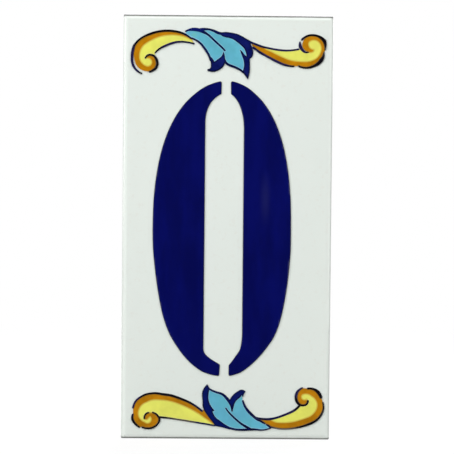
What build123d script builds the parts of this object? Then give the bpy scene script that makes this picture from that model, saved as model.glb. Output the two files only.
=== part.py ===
"""Pressed and glazed ceramic number tile: a stencilled figure 0 between two painted scroll-and-leaf bands.

Millimetres. The origin is the centre of the flat back, +Z is up the tile as it hangs on a wall, and the
painted face looks along -Y. The enamel colours are thin fields that lie side by side on the glazed face.
"""
import math
import os

from build123d import *

# Pressed body
TILE_WIDTH = 74.0
TILE_HEIGHT = 150.0
TILE_THICKNESS = 8.0
CORNER_RADIUS = 0.7  # upright corners, as seen from the front
ROLL_RADIUS = 3.0  # gentle fall of the face towards each edge
ROLL_ANGLE = 25.0  # degrees turned by that fall
NOSE_RADIUS = 0.8  # tighter round from there to the side
BACK_RIM = 4.0  # flat margin round the keyed back
RIB_WIDTH = 2.6  # flat ribs between the pockets of the back
POCKET_DEPTH = 0.7
POCKET_DRAFT = 20.0  # degrees, so that the press lets go
POCKET_COLUMNS = 4
POCKET_ROWS = 8

# Enamel
FIELD_THICKNESS = 0.2  # ochre, yellow and turquoise
LINE_THICKNESS = 0.3  # brush lines and leaf shading, laid on thicker
FIGURE_THICKNESS = 0.3

# Figure 0, in two halves with a stencil gap at head and foot
FIGURE_HEAD_DROP = 23.2  # from the tile's top edge
FIGURE_FOOT_RISE = 22.5  # from the tile's bottom edge
STENCIL_GAP = 3.3
GAP_OFFSET = -0.6  # the gap's centre, from the tile's centre line
HEAD_WALL = 4.55  # at the gap's edge
FOOT_WALL = 4.0
LEFT_BOW = 24.0  # from the gap's edge to the widest point
LEFT_WAIST = -0.5  # height of the widest point, from the tile's centre
LEFT_COUNTER = 5.6  # from the gap's edge to the straight inner side
LEFT_HEAD_SHOULDER = 10.1  # height of the round inner corner below the head
LEFT_FOOT_SHOULDER = 6.3  # and above the foot
RIGHT_BOW = 21.7
RIGHT_WAIST = -2.7
RIGHT_COUNTER = 4.65
RIGHT_HEAD_SHOULDER = 12.6
RIGHT_FOOT_SHOULDER = 11.2
# How far each outer curve keeps its direction at the gap and at the widest point, and its fall at the gap
LEFT_HEAD_CURVE = (23.6, 11.8, 0.24)
LEFT_FOOT_CURVE = (21.8, 14.2, 0.08)
RIGHT_HEAD_CURVE = (21.9, 14.0, 0.25)
RIGHT_FOOT_CURVE = (21.4, 11.4, 0.19)
LEFT_COUNTER_FALL = 0.46  # slope of the inner edge where it meets the gap
RIGHT_COUNTER_FALL = 0.68
FIGURE_CORNER = 0.5

# Scroll bands
ARCS_PER_STEP = 0.5  # round arcs in a curve for each step between its drawn points
BAND_MARGIN = 2.1  # white ground between the outermost brush line's centre and a long side
UPPER_BAND_DROP = 13.0  # from the tile's top edge to the upper band's centre
LOWER_BAND_RISE = 11.5  # from the tile's bottom edge to the lower band's centre

# Upper band, drawn from its own centre: brush lines of the left scroll
UPPER_LEFT_CREST = [
    (-13.1, 4.65), (-16.3, 6.4), (-19.9, 7.1), (-23.0, 7.05), (-25.9, 6.55), (-29.75, 5.0),
    (-32.2, 3.25), (-33.5, 1.15), (-33.9, -1.9), (-33.7, -4.4), (-32.55, -6.4), (-30.5, -7.8),
]
UPPER_LEFT_CURL = [
    (-27.7, -7.2), (-26.35, -6.6), (-25.4, -5.7), (-25.0, -4.3), (-25.25, -2.9), (-25.95, -1.8),
    (-26.95, -1.25), (-28.05, -1.25), (-28.8, -1.7), (-29.2, -2.4),
]
UPPER_LEFT_INNER = [
    (-25.8, -0.5), (-24.6, 0.7), (-22.8, 1.75), (-20.6, 2.7),
    (-18.5, 3.3), (-16.4, 3.5), (-14.2, 3.3), (-12.1, 2.8),
]
# Ochre edge where it leaves the crest line, and the yellow field's edge against the ochre
UPPER_LEFT_BARE_EDGE = [(-33.3, -1.5), (-32.9, -3.6), (-32.0, -5.4), (-30.9, -6.4), (-29.4, -6.9)]
UPPER_LEFT_YELLOW = [
    (-12.9, 4.1), (-15.2, 5.0), (-18.3, 5.6), (-21.4, 5.55), (-24.4, 4.95), (-27.5, 3.6), (-29.9, 1.9),
    (-31.1, -0.3), (-31.2, -2.4), (-30.3, -4.2), (-28.9, -5.1), (-27.6, -5.0), (-27.0, -4.1), (-27.2, -3.1),
    (-27.9, -2.5),
]

# Upper band: brush lines of the right scroll
UPPER_RIGHT_TOP = [
    (8.0, 3.55), (10.0, 2.8), (12.3, 2.05), (15.0, 1.5), (17.6, 1.1), (20.1, 0.9), (22.3, 1.0), (24.7, 1.4),
]
UPPER_RIGHT_DROP = [(25.2, 4.0), (25.25, 2.7), (25.7, 1.65), (26.3, 0.9), (27.1, 0.4), (28.2, 0.35)]
UPPER_RIGHT_BOTTOM = [
    (8.8, 1.75), (10.7, 0.4), (12.65, -0.7), (15.1, -2.0),
    (17.3, -3.1), (19.4, -4.0), (21.4, -4.5), (23.1, -4.65),
]
UPPER_RIGHT_BELLY = [
    (24.8, -4.55), (26.1, -5.0), (27.6, -5.15), (29.1, -4.9), (30.6, -4.3), (31.9, -3.45),
    (32.8, -2.4), (33.5, -1.1), (33.7, 0.4),
]
UPPER_RIGHT_CURL = [
    (25.8, 4.75), (26.9, 5.6), (28.2, 6.2), (29.8, 6.35), (31.4, 6.05), (32.8, 5.3),
    (33.85, 4.3), (34.2, 3.0), (34.1, 1.2),
]
UPPER_RIGHT_BARE_EDGE = [(27.3, 1.1), (26.5, 2.1), (26.3, 3.2), (26.7, 4.7)]
UPPER_RIGHT_YELLOW = [
    (13.3, 1.2), (14.5, 0.75), (15.7, 0.2), (18.0, -0.9), (20.1, -1.8), (22.6, -2.6), (25.5, -2.9),
    (28.5, -2.8), (30.4, -2.1), (31.8, -0.9), (32.6, 0.9), (32.6, 2.5), (31.9, 3.8), (30.5, 4.5),
    (29.1, 4.4), (28.2, 3.4), (28.4, 2.4), (29.25, 1.7), (30.2, 1.4),
]
UPPER_RIGHT_YELLOW_EYE = [(30.1, 0.8), (29.3, 0.3)]

# Upper band: the leaf, a front lobe that folds over a back lobe
UPPER_LEAF_FRONT_VEIN = [
    (-15.1, 7.1), (-13.9, 7.6), (-12.1, 7.8), (-10.5, 7.65), (-9.1, 7.1), (-7.6, 6.3),
    (-6.1, 5.1), (-4.4, 3.5), (-2.8, 2.1), (-1.2, 0.5),
]
UPPER_LEAF_BACK_LINE = [(-10.5, 7.65), (-8.9, 7.95), (-6.8, 7.9), (-4.8, 7.25), (-3.0, 6.5), (-1.7, 6.5)]
UPPER_LEAF_FRONT_LINE = [
    (-13.0, 4.8), (-12.0, 4.35), (-10.9, 3.8), (-9.75, 2.9),
    (-8.7, 1.65), (-7.6, 0.1), (-6.8, -1.35), (-6.2, -3.0),
]
UPPER_LEAF_HEM = [(-1.3, -2.7), (-0.5, -3.9), (0.7, -4.5), (2.4, -5.1), (3.8, -5.7), (5.3, -6.8)]
UPPER_LEAF_BACK_SHADE = [
    [(-1.7, 6.85), (-0.1, 6.9), (2.0, 6.6), (4.0, 5.95), (5.6, 5.1), (7.1, 4.3), (8.5, 3.6)],
    [(7.75, 3.0)],
    [(8.3, 1.8), (8.8, 0.4), (8.6, -1.1), (7.5, -2.2)],
    [(7.65, -3.5), (7.8, -5.3), (7.6, -7.2), (6.95, -9.2)],
    [(6.1, -8.0), (5.2, -6.8)],
    [(5.3, -6.1)],
    [(5.65, -4.3), (5.5, -2.9), (5.1, -1.7), (4.5, -0.1), (4.2, 0.8)],
    [(5.0, 0.0), (5.7, -0.9), (6.45, -1.5)],
    [(6.3, -0.2), (5.6, 1.4), (4.4, 2.6), (2.8, 3.8), (1.1, 4.9), (-0.5, 5.4), (-1.7, 5.6), (-3.0, 6.3)],
]
UPPER_LEAF_FRONT_SHADE = [
    [
        (-1.4, -1.1), (-1.2, -2.7), (-1.4, -4.1), (-1.9, -4.9),
        (-3.1, -5.95), (-4.6, -6.6), (-6.2, -6.7), (-7.3, -6.4),
    ],
    [(-7.2, -6.0)],
    [(-6.4, -5.7), (-6.05, -4.4), (-6.2, -3.0)],
    [(-6.8, -1.35)],
    [(-5.8, -2.2), (-4.95, -3.5)],
    [(-3.75, -2.7), (-2.7, -1.9), (-1.95, -0.9), (-1.7, 0.0)],
]
UPPER_LEAF_TURQUOISE = [
    [(-13.9, 7.5), (-12.1, 7.7), (-9.9, 7.8), (-8.2, 8.0), (-5.0, 7.2), (-3.0, 6.4)],
    [(0.0, 6.2), (3.0, 5.0), (6.5, 1.8), (7.2, -1.0), (6.4, -4.0), (5.6, -6.3)],
    UPPER_LEAF_HEM[-2::-1],
    [(-3.0, -4.0), (-4.8, -4.6), (-6.0, -3.6)],
    UPPER_LEAF_FRONT_LINE[-2::-1],
    [(-14.0, 5.6), (-15.0, 6.3)],
    UPPER_LEAF_FRONT_VEIN[:1],
]

# Lower band, drawn from its own centre: brush lines of the left scroll
LOWER_LEFT_TOP = [
    (-8.2, -1.7), (-9.75, -0.6), (-11.55, 0.5), (-13.6, 1.5), (-16.1, 2.5), (-18.2, 3.3), (-19.95, 3.8),
    (-22.4, 4.15), (-24.9, 4.35), (-27.0, 4.15), (-29.1, 3.55), (-30.9, 2.55), (-32.1, 1.2), (-32.7, -0.5),
]
LOWER_LEFT_SIDE = [(-32.7, -2.8), (-32.95, -4.0), (-32.55, -5.25), (-31.7, -6.35), (-30.4, -7.35)]
LOWER_LEFT_CURL = [
    (-29.4, -7.35), (-28.3, -7.7), (-26.75, -7.75), (-25.35, -7.35), (-24.1, -6.4), (-23.45, -5.3),
    (-23.35, -4.05), (-23.95, -3.2), (-24.75, -2.45), (-25.7, -2.1),
]
LOWER_LEFT_HOOK = [(-27.1, -2.2), (-28.0, -2.55), (-28.6, -3.4), (-28.65, -4.3)]
LOWER_LEFT_INNER = [
    (-23.2, -3.7), (-21.0, -3.9), (-18.1, -4.3), (-14.6, -4.8), (-11.0, -5.4), (-8.1, -5.85), (-3.7, -6.6),
]
# Ochre edge where the scroll passes behind the leaf, and the yellow field's edge against the ochre
LOWER_LEFT_HIDDEN_EDGE = [(-5.0, -4.5), (-6.4, -2.9), (-7.6, -1.1)]
LOWER_LEFT_YELLOW = [
    (-4.6, -5.9), (-8.1, -3.4), (-11.0, -1.8), (-13.3, -0.75), (-15.7, 0.25), (-18.1, 1.1), (-20.8, 1.8),
    (-23.5, 2.05), (-26.0, 1.85), (-28.0, 1.2), (-29.75, 0.1), (-30.6, -1.4), (-30.8, -3.0), (-30.1, -4.4),
    (-28.9, -5.3), (-27.4, -5.6), (-26.4, -5.3), (-26.0, -4.4), (-26.6, -3.6),
]
LOWER_LEFT_YELLOW_EYE = [(-27.1, -4.1), (-27.7, -4.7)]

# Lower band: brush lines of the right scroll
LOWER_RIGHT_TOP = [
    (10.3, -3.5), (12.2, -4.0), (14.2, -4.2), (16.0, -4.15), (18.0, -3.75), (20.15, -3.0), (22.4, -2.1),
    (24.2, -1.2), (25.4, -0.3), (26.35, 0.7),
]
LOWER_RIGHT_CURL = [
    (27.3, 7.05), (26.15, 6.3), (25.35, 5.3), (25.05, 4.0), (25.25, 2.5), (26.1, 1.25), (27.15, 0.8),
    (28.35, 0.95), (29.15, 1.6), (29.3, 2.5),
]
LOWER_RIGHT_CREST = [(29.2, 6.8), (30.5, 6.8), (31.75, 6.4), (32.8, 5.65), (33.5, 4.7), (34.0, 3.65)]
LOWER_RIGHT_SWEEP = [
    (34.6, 1.9), (34.9, 0.4), (34.6, -1.4), (33.75, -3.0), (32.5, -4.4), (30.7, -5.5), (28.7, -6.3),
    (26.6, -6.9), (24.1, -7.4), (21.4, -7.65), (18.7, -7.5), (16.2, -6.95),
]
LOWER_RIGHT_YELLOW = [
    (16.9, -4.8), (18.0, -5.2), (20.5, -5.4), (23.2, -5.2), (25.9, -4.6), (28.5, -3.7), (30.3, -2.9),
    (31.75, -1.5), (32.5, 0.1), (32.5, 1.7), (31.9, 2.9), (30.7, 4.0), (29.25, 4.75), (27.95, 4.95),
    (27.2, 4.2), (27.25, 3.2), (28.0, 2.8), (28.8, 3.1),
]

# Lower band: the leaf, two lobes that part at a notch
LOWER_LEAF_FIRST_LINE = [
    (-6.6, 7.7), (-5.65, 6.4), (-4.4, 5.65), (-2.95, 5.15), (-1.5, 4.75), (-0.45, 4.1), (0.45, 3.15),
    (1.35, 2.15), (2.0, 1.0), (2.35, -0.3), (2.4, -1.4),
]
LOWER_LEAF_RIGHT_LINE = [
    (6.2, 2.3), (6.65, 1.0), (7.5, -0.55), (8.7, -1.95),
    (10.0, -3.15), (11.25, -4.2), (12.85, -5.05), (14.1, -5.8),
]
LOWER_LEAF_TIP_LINE = [(14.6, -6.1), (15.6, -6.7), (16.2, -7.3)]
LOWER_LEAF_HEM = [
    (16.2, -7.3), (15.0, -7.75), (13.2, -8.1), (11.4, -7.95), (9.6, -7.85), (8.0, -7.95), (5.2, -8.05),
    (3.2, -7.85), (1.4, -7.35),
]
LOWER_LEAF_VEIN = [(0.2, -0.4), (1.4, -2.0), (3.2, -3.75), (5.2, -5.5), (7.0, -6.7), (8.8, -7.7)]
LOWER_LEAF_LEFT_SHADE = [
    [(-7.5, 6.8), (-8.05, 5.4), (-8.2, 3.6), (-8.0, 1.8), (-8.0, 0.2)],
    [(-7.6, -1.1), (-6.6, -2.5), (-5.4, -4.1), (-4.3, -5.4), (-3.4, -6.7)],
    [(-2.0, -6.95), (-0.4, -7.3), (1.6, -7.9)],
    [(1.6, -7.1)],
    [(0.2, -6.4), (-1.1, -5.5), (-2.3, -4.6), (-3.6, -3.6), (-4.1, -2.7), (-4.6, -1.6)],
    [(-3.85, -1.4)],
    [(-5.1, 0.0), (-5.7, 1.1), (-6.05, 2.5), (-6.0, 4.5), (-5.8, 6.0)],
    [(-5.9, 7.0), (-6.5, 8.0)],
]
LOWER_LEAF_NOTCH_SHADE = [
    [(2.4, 3.8), (3.6, 5.0), (4.8, 5.8), (6.1, 6.1), (7.05, 5.5)],
    [(6.6, 4.9), (6.25, 3.75)],
    [(5.85, 4.4)],
    [(5.2, 3.6), (4.3, 2.9), (3.4, 1.8), (2.95, 0.5), (2.5, -1.4)],
    [(1.6, 2.4)],
]
LOWER_LEAF_TURQUOISE = [
    LOWER_LEAF_FIRST_LINE[1:8],
    [(2.4, 2.2), (3.6, 3.4), (4.8, 4.3), (5.85, 4.6)],
    [(5.95, 3.5), (6.2, 2.3)],
    LOWER_LEAF_RIGHT_LINE[1:] + LOWER_LEAF_TIP_LINE[:1],
    LOWER_LEAF_TIP_LINE[1:],
    LOWER_LEAF_HEM[1:],
    [(-2.0, -6.0), (-4.2, -4.3), (-5.7, -1.8), (-6.9, 1.0), (-6.9, 4.5), (-6.4, 6.9)],
]

# Centre line of each brush line, with the brush's widths along it from its first tip to its last
UPPER_STROKES = [
    (UPPER_LEFT_CREST, (0.5, 0.7, 0.7, 0.95, 0.9, 0.5)),
    (UPPER_LEFT_CURL, (0.6, 0.85, 0.85, 0.6, 0.5)),
    (UPPER_LEFT_INNER, (0.4, 0.6, 0.5, 0.35)),
    (UPPER_RIGHT_TOP, (0.6, 0.5, 0.45, 0.4)),
    (UPPER_RIGHT_DROP, (0.2, 1.0, 0.6, 0.5, 0.35)),
    (UPPER_RIGHT_BOTTOM, (0.7, 0.5, 0.6, 0.4)),
    (UPPER_RIGHT_BELLY, (0.45, 0.55, 0.9, 1.35, 0.3)),
    (UPPER_RIGHT_CURL, (0.6, 0.6, 0.65, 1.2, 0.3)),
    (UPPER_LEAF_FRONT_VEIN, (0.35, 0.6, 0.7, 0.55, 0.5, 0.35)),
    (UPPER_LEAF_BACK_LINE, (0.4, 0.6, 0.6, 0.6)),
    (UPPER_LEAF_FRONT_LINE, (0.5, 0.6, 0.65, 0.5)),
    (UPPER_LEAF_HEM, (0.5, 0.6, 0.55, 0.5)),
]
LOWER_STROKES = [
    (LOWER_LEFT_TOP, (0.45, 0.6, 0.7, 0.55, 0.6)),
    (LOWER_LEFT_SIDE, (0.5, 0.8, 0.7, 0.5)),
    (LOWER_LEFT_CURL, (0.5, 0.6, 0.55, 0.65, 0.5)),
    (LOWER_LEFT_HOOK, (0.4, 0.5, 0.5)),
    (LOWER_LEFT_INNER, (0.6, 0.45, 0.5, 0.4)),
    (LOWER_RIGHT_TOP, (0.4, 0.6, 0.5, 0.55, 0.7)),
    (LOWER_RIGHT_CURL, (0.4, 0.9, 0.9, 0.6, 0.6)),
    (LOWER_RIGHT_CREST, (0.6, 0.7, 1.1, 0.9)),
    (LOWER_RIGHT_SWEEP, (0.4, 0.65, 0.8, 0.5, 0.35, 0.4)),
    (LOWER_LEAF_FIRST_LINE, (0.4, 0.6, 0.65, 0.9, 0.3)),
    (LOWER_LEAF_RIGHT_LINE, (0.4, 0.7, 0.7, 0.45)),
    (LOWER_LEAF_TIP_LINE, (0.3, 0.6, 0.4)),
    (LOWER_LEAF_HEM, (0.35, 0.45, 0.7, 0.6, 0.6)),
    (LOWER_LEAF_VEIN, (0.25, 0.4, 0.5, 0.8)),
]

# Sizes worked out from the ones above
figure_head = TILE_HEIGHT / 2 - FIGURE_HEAD_DROP
figure_foot = -TILE_HEIGHT / 2 + FIGURE_FOOT_RISE
upper_band_centre = TILE_HEIGHT / 2 - UPPER_BAND_DROP
lower_band_centre = -TILE_HEIGHT / 2 + LOWER_BAND_RISE
drawn_reach = max(abs(x) for x, z in UPPER_LEFT_CREST + UPPER_RIGHT_CURL + LOWER_RIGHT_SWEEP)
band_scale = (TILE_WIDTH / 2 - BAND_MARGIN) / drawn_reach
pocket_width = (TILE_WIDTH - 2 * BACK_RIM - (POCKET_COLUMNS - 1) * RIB_WIDTH) / POCKET_COLUMNS
pocket_height = (TILE_HEIGHT - 2 * BACK_RIM - (POCKET_ROWS - 1) * RIB_WIDTH) / POCKET_ROWS
face_plane = Plane.XZ.offset(TILE_THICKNESS)


def edge_section(length):
    """The tile's cross-section over one of its lengths: a square back, and a soft roll to each front edge."""
    turn = math.radians(ROLL_ANGLE)
    edge_run = ROLL_RADIUS * math.sin(turn) + NOSE_RADIUS * (1 - math.sin(turn))
    with BuildSketch() as section:
        with BuildLine():
            front = Line((0, TILE_THICKNESS), (length / 2 - edge_run, TILE_THICKNESS))
            roll = JernArc(front @ 1, front % 1, ROLL_RADIUS, -ROLL_ANGLE)
            nose = JernArc(roll @ 1, roll % 1, NOSE_RADIUS, ROLL_ANGLE - 90)
            Polyline(nose @ 1, (length / 2, 0), (0, 0))
            mirror(about=Plane.YZ)
        make_face()
    return section.sketch


def figure_half(outside, inside):
    """Half of the figure, drawn outwards from the edge of the stencil gap at x = 0."""
    bow, waist, head_curve, foot_curve = outside
    counter, head_shoulder, foot_shoulder, fall = inside
    inner_foot = figure_foot + FOOT_WALL
    inner_head = figure_head - HEAD_WALL
    corner_reach = 0.6 * counter
    with BuildSketch() as half:
        with BuildLine():
            head_reach, head_side_reach, head_fall = head_curve
            Bezier(
                (0, figure_head),
                (head_reach, figure_head - head_fall * head_reach),
                (bow, waist + head_side_reach),
                (bow, waist),
            )
            foot_reach, foot_side_reach, foot_rise = foot_curve
            Bezier(
                (bow, waist),
                (bow, waist - foot_side_reach),
                (foot_reach, figure_foot + foot_rise * foot_reach),
                (0, figure_foot),
            )
            Line((0, figure_foot), (0, inner_foot))
            Bezier(
                (0, inner_foot),
                (corner_reach, inner_foot + fall * corner_reach),
                (counter, inner_foot + foot_shoulder / 2),
                (counter, inner_foot + foot_shoulder),
            )
            Line((counter, inner_foot + foot_shoulder), (counter, inner_head - head_shoulder))
            Bezier(
                (counter, inner_head - head_shoulder),
                (counter, inner_head - head_shoulder / 2),
                (corner_reach, inner_head - fall * corner_reach),
                (0, inner_head),
            )
            Line((0, inner_head), (0, figure_head))
        make_face()
        fillet(half.vertices().group_by(Axis.X)[0], FIGURE_CORNER)
    return half.sketch


def width_at(widths, share):
    """The brush's width at a share of the stroke's length, read between the widths given along it."""
    place = share * (len(widths) - 1)
    index = min(int(place), len(widths) - 2)
    return widths[index] + (widths[index + 1] - widths[index]) * (place - index)


def arc_stops(drawn_points):
    """Shares of a curve's length at the start, middle and end of each arc, for so many drawn points."""
    arcs = math.ceil(ARCS_PER_STEP * (drawn_points - 1))
    return [stop / (2 * arcs) for stop in range(2 * arcs + 1)]


def arcs_through(points):
    """Round arcs, each through three points in a row, that run on from the first point to the last."""
    for start, middle, end in zip(points[::2], points[1::2], points[2::2]):
        ThreePointArc(start, middle, end)


def brush_stroke(centres, widths):
    """A stroke that swells and thins along a smooth centre line and ends in short tips."""
    centre_line = Spline(*centres, mode=Mode.PRIVATE)
    left = []
    right = []
    for share in arc_stops(len(centres)):
        along = centre_line % share
        across = Vector(-along.Y, along.X) * (width_at(widths, share) / 2)
        left.append(centre_line @ share + across)
        right.append(centre_line @ share - across)
    first_tip = centre_line @ 0 - (centre_line % 0) * (widths[0] / 2)
    last_tip = centre_line @ 1 + (centre_line % 1) * (widths[-1] / 2)
    with BuildSketch() as stroke:
        with BuildLine():
            arcs_through(left)
            Polyline(left[-1], last_tip, right[-1])
            arcs_through(right)
            Polyline(right[0], first_tip, left[0])
        make_face()
    return stroke.sketch


def colour_field(*stretches):
    """A closed field: its edge is one smooth curve for each stretch, with a corner where two meet."""
    with BuildSketch() as field:
        with BuildLine():
            start = stretches[-1][-1]
            for stretch in stretches:
                if len(stretch) == 1:
                    Line(start, stretch[0])
                else:
                    guide = Spline(start, *stretch, mode=Mode.PRIVATE)
                    arcs_through([guide @ share for share in arc_stops(len(stretch) + 1)])
                start = stretch[-1]
        make_face()
    return field.sketch


def on_face(upper, lower):
    """The upper and the lower band's fields of one colour, at their places and size on the face."""
    with BuildSketch() as placed:
        with Locations((0, upper_band_centre)):
            add(scale(upper, by=band_scale, mode=Mode.PRIVATE))
        with Locations((0, lower_band_centre)):
            add(scale(lower, by=band_scale, mode=Mode.PRIVATE))
    return placed.sketch


# Brush lines and leaf shading
with BuildSketch() as upper_lines:
    for centres, widths in UPPER_STROKES:
        add(brush_stroke(centres, widths))
    add(colour_field(*UPPER_LEAF_BACK_SHADE))
    add(colour_field(*UPPER_LEAF_FRONT_SHADE))

with BuildSketch() as lower_lines:
    for centres, widths in LOWER_STROKES:
        add(brush_stroke(centres, widths))
    add(colour_field(*LOWER_LEAF_LEFT_SHADE))
    add(colour_field(*LOWER_LEAF_NOTCH_SHADE))

# Whole scrolls, out to the middle of their brush lines
with BuildSketch() as upper_scrolls:
    add(
        colour_field(
            UPPER_LEFT_CREST[1:8] + UPPER_LEFT_BARE_EDGE + UPPER_LEFT_CURL[1:6],
            UPPER_LEFT_INNER[:1],
            UPPER_LEFT_INNER[1:],
            UPPER_LEFT_CREST[:1],
        )
    )
    add(
        colour_field(
            UPPER_RIGHT_TOP[1:],
            UPPER_RIGHT_DROP[3:4],
            UPPER_RIGHT_DROP[4:],
            UPPER_RIGHT_BARE_EDGE + UPPER_RIGHT_CURL[2:],
            UPPER_RIGHT_BELLY[::-1] + UPPER_RIGHT_BOTTOM[::-1],
            UPPER_RIGHT_TOP[:1],
        )
    )

with BuildSketch() as lower_scrolls:
    add(
        colour_field(
            LOWER_LEFT_TOP[1:] + LOWER_LEFT_SIDE + LOWER_LEFT_CURL[:7],
            LOWER_LEFT_INNER[:1],
            LOWER_LEFT_INNER[1:],
            LOWER_LEFT_HIDDEN_EDGE,
            LOWER_LEFT_TOP[:1],
        )
    )
    add(
        colour_field(
            LOWER_RIGHT_TOP[2:],
            LOWER_RIGHT_CURL[5:6],
            LOWER_RIGHT_CURL[4::-1] + LOWER_RIGHT_CREST + LOWER_RIGHT_SWEEP,
            LOWER_LEAF_RIGHT_LINE[:5:-1],
            LOWER_RIGHT_TOP[1:2],
        )
    )

# Yellow fields inside the scrolls
with BuildSketch() as upper_yellow:
    add(
        colour_field(
            UPPER_LEFT_YELLOW[1:],
            UPPER_LEFT_CURL[9:],
            UPPER_LEFT_CURL[8:4:-1],
            UPPER_LEFT_INNER[:1],
            UPPER_LEFT_INNER[1:],
            UPPER_LEFT_YELLOW[:1],
        )
    )
    add(
        colour_field(
            UPPER_RIGHT_YELLOW[1:],
            UPPER_RIGHT_YELLOW_EYE + UPPER_RIGHT_DROP[5:],
            UPPER_RIGHT_DROP[4:2:-1],
            UPPER_RIGHT_TOP[7:],
            UPPER_RIGHT_TOP[6:1:-1],
            UPPER_RIGHT_YELLOW[:1],
        )
    )
    add(upper_scrolls.sketch, mode=Mode.INTERSECT)
    add(upper_lines.sketch, mode=Mode.SUBTRACT)

with BuildSketch() as lower_yellow:
    add(
        colour_field(
            LOWER_LEFT_YELLOW[1:],
            LOWER_LEFT_YELLOW_EYE + LOWER_LEFT_HOOK[3:],
            LOWER_LEFT_HOOK[2::-1],
            LOWER_LEFT_CURL[9:],
            LOWER_LEFT_CURL[8:6:-1],
            LOWER_LEFT_INNER[:1],
            LOWER_LEFT_INNER[1:],
            LOWER_LEFT_YELLOW[:1],
        )
    )
    add(
        colour_field(
            LOWER_RIGHT_YELLOW,
            LOWER_RIGHT_CURL[9:],
            LOWER_RIGHT_CURL[8:4:-1],
            LOWER_RIGHT_TOP[9:],
            LOWER_RIGHT_TOP[8:2:-1],
        )
    )
    add(lower_scrolls.sketch, mode=Mode.INTERSECT)
    add(lower_lines.sketch, mode=Mode.SUBTRACT)

# Ochre bands: what the yellow and the lines leave of the scrolls
with BuildSketch() as upper_ochre:
    add(upper_scrolls.sketch)
    add(upper_yellow.sketch, mode=Mode.SUBTRACT)
    add(upper_lines.sketch, mode=Mode.SUBTRACT)

with BuildSketch() as lower_ochre:
    add(lower_scrolls.sketch)
    add(lower_yellow.sketch, mode=Mode.SUBTRACT)
    add(lower_lines.sketch, mode=Mode.SUBTRACT)

# Turquoise leaves
with BuildSketch() as upper_turquoise:
    add(colour_field(*UPPER_LEAF_TURQUOISE))
    add(upper_lines.sketch, mode=Mode.SUBTRACT)
    add(upper_scrolls.sketch, mode=Mode.SUBTRACT)

with BuildSketch() as lower_turquoise:
    add(colour_field(*LOWER_LEAF_TURQUOISE))
    add(lower_lines.sketch, mode=Mode.SUBTRACT)
    add(lower_scrolls.sketch, mode=Mode.SUBTRACT)

# Pressed body: the front outline, cut by the two cross-sections so that the edges meet in mitred corners
with BuildPart() as tile_body:
    with BuildSketch(Plane.XZ):
        RectangleRounded(TILE_WIDTH, TILE_HEIGHT, CORNER_RADIUS)
    extrude(amount=TILE_THICKNESS)
    with BuildSketch(Plane(origin=(0, 0, 0), x_dir=(1, 0, 0), z_dir=(0, 0, -1))):
        add(edge_section(TILE_WIDTH))
    extrude(amount=TILE_HEIGHT / 2, both=True, mode=Mode.INTERSECT)
    with BuildSketch(Plane(origin=(0, 0, 0), x_dir=(0, 0, 1), z_dir=(1, 0, 0))):
        add(edge_section(TILE_HEIGHT))
    extrude(amount=TILE_WIDTH / 2, both=True, mode=Mode.INTERSECT)
    with BuildSketch(Plane.XZ):
        with GridLocations(pocket_width + RIB_WIDTH, pocket_height + RIB_WIDTH, POCKET_COLUMNS, POCKET_ROWS):
            Rectangle(pocket_width, pocket_height)
    extrude(amount=POCKET_DEPTH, taper=POCKET_DRAFT, mode=Mode.SUBTRACT)

# Dark blue figure
with BuildPart() as figure_zero:
    with BuildSketch(face_plane):
        with Locations((GAP_OFFSET + STENCIL_GAP / 2, 0)):
            add(
                figure_half(
                    (RIGHT_BOW, RIGHT_WAIST, RIGHT_HEAD_CURVE, RIGHT_FOOT_CURVE),
                    (RIGHT_COUNTER, RIGHT_HEAD_SHOULDER, RIGHT_FOOT_SHOULDER, RIGHT_COUNTER_FALL),
                )
            )
        with Locations((GAP_OFFSET - STENCIL_GAP / 2, 0)):
            left_half = figure_half(
                (LEFT_BOW, LEFT_WAIST, LEFT_HEAD_CURVE, LEFT_FOOT_CURVE),
                (LEFT_COUNTER, LEFT_HEAD_SHOULDER, LEFT_FOOT_SHOULDER, LEFT_COUNTER_FALL),
            )
            add(mirror(left_half, about=Plane.YZ, mode=Mode.PRIVATE))
    extrude(amount=FIGURE_THICKNESS)

with BuildPart() as brush_lines:
    with BuildSketch(face_plane):
        add(on_face(upper_lines.sketch, lower_lines.sketch))
    extrude(amount=LINE_THICKNESS)

with BuildPart() as ochre_bands:
    with BuildSketch(face_plane):
        add(on_face(upper_ochre.sketch, lower_ochre.sketch))
    extrude(amount=FIELD_THICKNESS)

with BuildPart() as yellow_fields:
    with BuildSketch(face_plane):
        add(on_face(upper_yellow.sketch, lower_yellow.sketch))
    extrude(amount=FIELD_THICKNESS)

with BuildPart() as turquoise_leaves:
    with BuildSketch(face_plane):
        add(on_face(upper_turquoise.sketch, lower_turquoise.sketch))
    extrude(amount=FIELD_THICKNESS)

# One file for each node
tile_body.part.label = "tile_body"
figure_zero.part.label = "figure_zero"
brush_lines.part.label = "brush_lines"
ochre_bands.part.label = "ochre_bands"
yellow_fields.part.label = "yellow_fields"
turquoise_leaves.part.label = "turquoise_leaves"

os.makedirs("parts", exist_ok=True)
export_step(tile_body.part, "parts/tile_body.step")
export_step(figure_zero.part, "parts/figure_zero.step")
export_step(brush_lines.part, "parts/brush_lines.step")
export_step(ochre_bands.part, "parts/ochre_bands.step")
export_step(yellow_fields.part, "parts/yellow_fields.step")
export_step(turquoise_leaves.part, "parts/turquoise_leaves.step")
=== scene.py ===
"""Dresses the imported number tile: fired glaze, softened enamel, studio and camera.

All lengths are in metres.
"""
import math

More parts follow.
